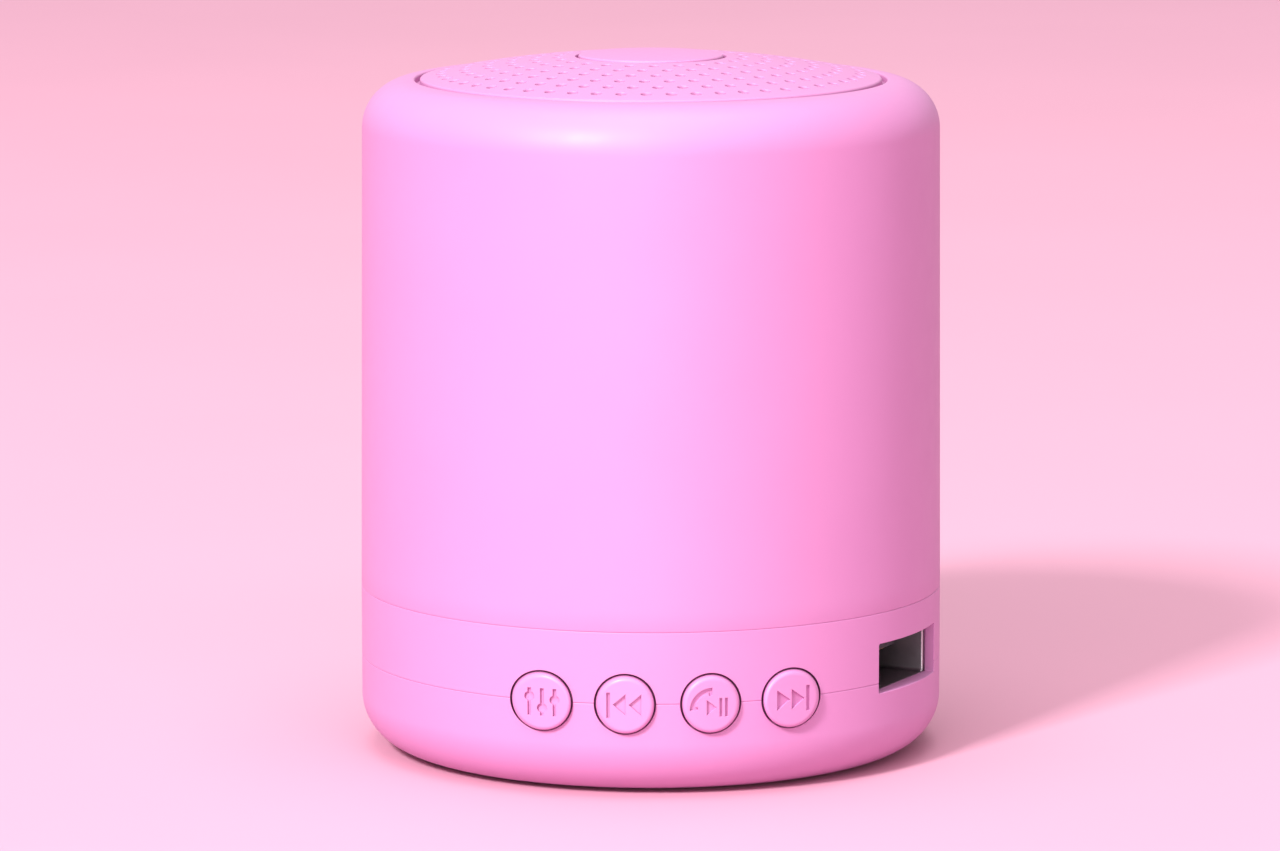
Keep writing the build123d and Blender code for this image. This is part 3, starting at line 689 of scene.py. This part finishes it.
# ---- materials ----
class Paint:
    """A material with its Principled shader, and short calls for the nodes behind it."""

    def __init__(self, name, color, rough, **extra):
        self.material = bpy.data.materials.new(name)
        self.material.use_nodes = True
        self.tree = self.material.node_tree
        self.shader = self.tree.nodes["Principled BSDF"]
        self.shader.inputs["Base Color"].default_value = (*color, 1)
        self.shader.inputs["Roughness"].default_value = rough
        for socket, value in extra.items():
            self.shader.inputs[socket.replace("_", " ")].default_value = value
        self.rough = rough
        self.place = self.node("ShaderNodeTexCoord").outputs["Object"]

    def node(self, kind):
        return self.tree.nodes.new(kind)

    def link(self, source, target):
        self.tree.links.new(source, target)

    def noise(self, size, detail=2.0, stretch=None):
        """Noise whose features are about size millimetres across."""
        made = self.node("ShaderNodeTexNoise")
        made.inputs["Scale"].default_value = 1 / (size * MM)
        made.inputs["Detail"].default_value = detail
        source = self.place
        if stretch:
            mapping = self.node("ShaderNodeMapping")
            mapping.inputs["Scale"].default_value = stretch
            self.link(source, mapping.inputs["Vector"])
            source = mapping.outputs["Vector"]
        self.link(source, made.inputs["Vector"])
        return made.outputs["Fac"]

    def vary_rough(self, source, spread):
        made = self.node("ShaderNodeMapRange")
        made.inputs["From Min"].default_value = 0.3
        made.inputs["From Max"].default_value = 0.7
        made.inputs["To Min"].default_value = self.rough - spread
        made.inputs["To Max"].default_value = self.rough + spread
        self.link(source, made.inputs["Value"])
        self.link(made.outputs["Result"], self.shader.inputs["Roughness"])

    def vary_color(self, source, first, second, start=0.3, end=0.7):
        ramp = self.node("ShaderNodeValToRGB")
        ramp.color_ramp.elements[0].position = start
        ramp.color_ramp.elements[0].color = (*first, 1)
        ramp.color_ramp.elements[1].position = end
        ramp.color_ramp.elements[1].color = (*second, 1)
        self.link(source, ramp.inputs["Fac"])
        self.link(ramp.outputs["Color"], self.shader.inputs["Base Color"])

    def bump(self, source, height, previous=None):
        """A relief of that height in millimetres; returns it for a finer one to add to."""
        made = self.node("ShaderNodeBump")
        made.inputs["Strength"].default_value = 1.0
        made.inputs["Distance"].default_value = height * MM
        self.link(source, made.inputs["Height"])
        if previous:
            self.link(previous, made.inputs["Normal"])
        self.link(made.outputs["Normal"], self.shader.inputs["Normal"])
        return made.outputs["Normal"]


def shade(color, factor):
    return tuple(min(1.0, c * factor) for c in color)


def plastic(name, color, rough, grain=0.3, relief=0.002):
    """Moulded plastic: a fine spark-eroded grain, slow drifts of tone and of gloss."""
    paint = Paint(name, color, rough)
    paint.vary_color(paint.noise(14.0, 3.0), shade(color, 0.985), shade(color, 1.012))
    paint.vary_rough(paint.noise(2.4, 4.0), 0.03)
    coarse = paint.bump(paint.noise(grain * 4, 2.0), relief * 0.8)
    paint.bump(paint.noise(grain, 3.0), relief, coarse)
    return paint.material


def metal(name, color, rough, brushed=(1, 1, 1), relief=0.002):
    """Metal with fine streaks, drawn out along the axes where brushed is small."""
    paint = Paint(name, color, rough, Metallic=1.0)
    paint.vary_color(paint.noise(3.0, 4.0), shade(color, 0.94), shade(color, 1.03))
    streaks = paint.noise(0.5, 2.0, brushed)
    paint.vary_rough(streaks, rough * 0.15)
    paint.bump(streaks, relief)
    return paint.material


def rubber(name, color):
    paint = Paint(name, color, 0.72)
    paint.vary_color(paint.noise(1.5, 5.0), shade(color, 0.8), shade(color, 1.25))
    paint.vary_rough(paint.noise(0.8, 3.0), 0.08)
    paint.bump(paint.noise(0.25, 4.0), 0.01)
    return paint.material


def cloth(name, color, pitch):
    paint = Paint(name, color, 0.85, Sheen_Weight=0.25)
    weave = paint.node("ShaderNodeTexVoronoi")
    weave.inputs["Scale"].default_value = 1 / (pitch * MM)
    paint.link(paint.place, weave.inputs["Vector"])
    paint.vary_color(weave.outputs["Distance"], shade(color, 1.2), shade(color, 0.7), 0.1, 0.7)
    paint.bump(weave.outputs["Distance"], 0.03)
    return paint.material


def board_finish():
    """Solder mask over faint copper tracks."""
    color = (0.012, 0.10, 0.035)
    paint = Paint("board_green", color, 0.3, Coat_Weight=0.4)
    tracks = paint.node("ShaderNodeTexBrick")
    tracks.inputs["Scale"].default_value = 260
    tracks.inputs["Mortar Size"].default_value = 0.03
    paint.link(paint.place, tracks.inputs["Vector"])
    paint.vary_color(tracks.outputs["Fac"], color, shade(color, 2.0), 0.2, 0.8)
    paint.bump(tracks.outputs["Fac"], 0.02)
    return paint.material


def clear_finish():
    paint = Paint("clear_plastic", (0.93, 0.95, 0.97), 0.18, Transmission_Weight=0.9, IOR=1.49)
    paint.vary_rough(paint.noise(0.6, 3.0), 0.05)
    return paint.material


PINK = (0.55, 0.212, 0.432)
MATERIALS = {
    "shell": plastic("shell", PINK, 0.50),
    "button": plastic("button", shade(PINK, 1.03), 0.40, grain=0.22, relief=0.0014),
    "rubber": rubber("rubber", (0.03, 0.026, 0.03)),
    "steel": metal("steel", (0.56, 0.56, 0.57), 0.32, (1, 6, 1)),
    "screw": metal("screw", (0.42, 0.42, 0.43), 0.3),
    "dark_steel": plastic("dark_steel", (0.012, 0.012, 0.014), 0.38, 0.5, 0.004),
    "black_plastic": plastic("black_plastic", (0.024, 0.021, 0.024), 0.42, 0.2, 0.003),
    "white_plastic": plastic("white_plastic", (0.78, 0.78, 0.75), 0.4, 0.2, 0.002),
    "clear_plastic": clear_finish(),
    "foam": rubber("foam", (0.05, 0.05, 0.055)),
    "battery_wrap": plastic("battery_wrap", (0.03, 0.14, 0.38), 0.25, 1.2, 0.02),
    "red_wire": rubber("red_wire", (0.42, 0.012, 0.01)),
    "black_wire": rubber("black_wire", (0.012, 0.012, 0.012)),
    "cone_paper": cloth("cone_paper", (0.03, 0.03, 0.032), 0.35),
    "spider_cloth": cloth("spider_cloth", (0.45, 0.23, 0.05), 0.4),
    "copper": metal("copper", (0.72, 0.3, 0.13), 0.28, (1, 1, 14)),
    "ferrite": rubber("ferrite", (0.035, 0.035, 0.037)),
    "board_green": board_finish(),
    # The nickel's grey is darkened and given a pink-purple cast: painted shade of the socket's recess and
    # painted reflection of the pink surroundings, laid over the metal's own grey.
    "nickel": metal("nickel", (0.40, 0.36, 0.39), 0.34, (1, 1, 4), 0.0005),
    "gold": metal("gold", (0.84, 0.56, 0.2), 0.22),
}


replaced = set()


def dress(obj, slot):
    obj.data.materials.clear()
    obj.data.materials.append(MATERIALS[slot])


def place(obj, node, body="housing", slot="shell"):
    """Names a new piece, gives it its finish and puts it in its CAD node's place."""
    obj.name = f"{node}_skin"
    obj.data.name = obj.name
    dress(obj, slot)
    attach(obj, body)
    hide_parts(node)
    replaced.add(node)


place(make_main(), "main_shell")
place(make_band(), "middle_band")
place(make_cup(), "bottom_shell")
place(make_grille(), "top_grille")
place(make_grille_cap(), "grille_cap")
place(make_foot(), "foot_pad", slot="rubber")
place(make_usb_shell(), "usb_socket_shell", slot="nickel")
for key, key_x in key_places().items():
    place(make_button(key, key_x), f"{key}_button", body=f"{key}_button", slot="button")

# The pieces that stay CAD get their finish here, and those seen through an opening get rounded edges.
SLOTS = {part["node"]: part["material_slot"] for part in frame["record"]["subparts"]}
SOFT_EDGES = {
    "usb_socket_tongue": 0.12, "usb_contacts": 0.03, "charge_socket_shell": 0.08,
    "charge_socket_tongue": 0.06, "card_socket": 0.08, "power_switch_knob": 0.12,
    "power_switch_case": 0.1, "light_pipe": 0.1,
}
for name, node in frame["nodes"].items():
    if name in replaced:
        continue
    dress(node, SLOTS[name])
    if name in SOFT_EDGES:
        bevel = node.modifiers.new("soft_edges", "BEVEL")
        bevel.width = SOFT_EDGES[name] * MM
        bevel.segments = 2
        bevel.limit_method = "ANGLE"
        bevel.angle_limit = radians(40)


# ---- floor, light and camera ----
def make_stage():
    skin = Skin()
    reach = 4000.0
    loop = skin.add([(-reach, -reach, 0), (reach, -reach, 0), (reach, reach, 0), (-reach, reach, 0)])
    skin.faces.append(tuple(loop))
    floor = skin.build("floor")
    color = (0.66, 0.318, 0.432)
    paint = Paint("floor", color, 0.75)
    paint.vary_color(paint.noise(90.0, 2.0), shade(color, 0.99), shade(color, 1.01))
    floor.data.materials.append(paint.material)


def area_light(name, azimuth, elevation, distance, size, power):
    """A soft box aimed at the middle of the body; azimuth 0 is in front, positive to the left."""
    target = Vector((0, 0, 33 * MM))
    a, e = radians(azimuth), radians(elevation)
    back = Vector((-sin(a) * cos(e), -cos(a) * cos(e), sin(e)))
    data = bpy.data.lights.new(name, "AREA")
    data.shape = "RECTANGLE"
    data.size, data.size_y = size
    data.energy = power
    light = bpy.data.objects.new(name, data)
    light.location = target + back * distance
    light.rotation_mode = "QUATERNION"
    light.rotation_quaternion = (-back).to_track_quat("-Z", "Y")
    bpy.context.scene.collection.objects.link(light)


def make_camera():
    """Low three-quarter product view, a little to the left of the buttons."""
    turn, lean, tilt = radians(3.3), -0.0017, radians(8.73)
    distance, height = 0.616, 0.12555
    data = bpy.data.cameras.new("camera")
    data.lens = 181.5
    data.sensor_width = 36.0
    data.clip_start = 0.01
    data.clip_end = 20.0
    camera = bpy.data.objects.new("camera", data)
    camera.location = (-distance * sin(turn), -distance * cos(turn), height)
    heading = turn + lean
    forward = Vector((sin(heading) * cos(tilt), cos(heading) * cos(tilt), -sin(tilt)))
    camera.rotation_mode = "QUATERNION"
    camera.rotation_quaternion = forward.to_track_quat("-Z", "Y")
    bpy.context.scene.collection.objects.link(camera)
    bpy.context.scene.camera = camera


def make_world(strength, color):
    world = bpy.data.worlds.new("studio")
    world.use_nodes = True
    background = world.node_tree.nodes["Background"]
    background.inputs["Color"].default_value = (*color, 1)
    background.inputs["Strength"].default_value = strength
    bpy.context.scene.world = world


make_stage()
make_world(0.63, (1.0, 0.98, 0.99))
area_light("key", 34.8, 36.0, 2.2, (0.3, 0.36), 63.0)
area_light("strip", 2.0, 45.0, 2.0, (1.7, 0.35), 10.0)
area_light("fill", 8.0, 1.5, 1.5, (1.0, 0.2), 6.5)
area_light("overhead", 0.0, 88.0, 1.8, (1.2, 1.2), 18.0)
make_camera()
bpy.context.scene.view_settings.view_transform = "Standard"
